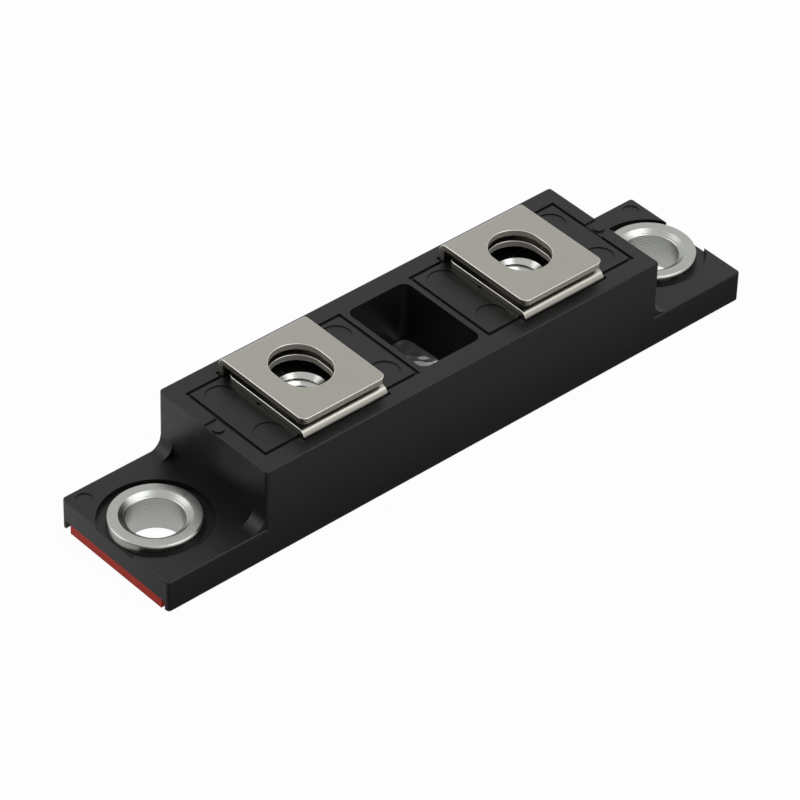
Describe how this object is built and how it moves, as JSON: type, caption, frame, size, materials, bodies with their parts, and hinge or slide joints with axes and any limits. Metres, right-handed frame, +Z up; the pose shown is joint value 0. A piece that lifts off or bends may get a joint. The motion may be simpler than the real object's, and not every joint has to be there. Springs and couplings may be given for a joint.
{
  "type": "schottky diode module",
  "caption": "Flat power rectifier module: black moulded body between two low ears with metal mounting eyelets, an open well, and folded strap terminals over captive nuts.",
  "frame": {"origin": "centre of the baseplate's underside, on the heat sink's plane", "axes": "+X along the length to the right-hand ear, +Y to the back, where the upper straps come out, +Z up out of the terminals"},
  "size_m": [0.0922, 0.0198, 0.0159],
  "materials": {
    "moulded_plastic": "black glass-filled moulding, satin",
    "copper_base": "copper plate with a brick-red oxide on its edges",
    "adhesive": "dark cured adhesive",
    "potting_gel": "clear cured gel, glossy",
    "eyelet_steel": "turned and nickel-plated",
    "tinned_copper": "copper strip, matt tin-plated",
    "nut_steel": "bright zinc-plated",
    "solder": "soft solder, dull grey",
    "buffer_metal": "rolled plate, grey",
    "silicon": "polished silicon"
  },
  "bodies": {
    "root": {"housing": "moulded_plastic", "baseplate": "copper_base", "adhesive_bead_front": "adhesive", "adhesive_bead_back": "adhesive", "potting": "potting_gel", "mounting_eyelet_left": "eyelet_steel", "upper_strap_left": "tinned_copper", "lower_strap_left": "tinned_copper", "terminal_nut_left": "nut_steel", "base_solder_left": "solder", "buffer_plate_left": "buffer_metal", "die_solder_left": "solder", "schottky_die_left": "silicon", "cap_solder_left": "solder", "cap_plate_left": "buffer_metal", "foot_solder_left": "solder", "mounting_eyelet_right": "eyelet_steel", "upper_strap_right": "tinned_copper", "lower_strap_right": "tinned_copper", "terminal_nut_right": "nut_steel", "base_solder_right": "solder", "buffer_plate_right": "buffer_metal", "die_solder_right": "solder", "schottky_die_right": "silicon", "cap_solder_right": "solder", "cap_plate_right": "buffer_metal", "foot_solder_right": "solder"}
  },
  "joints": []
}
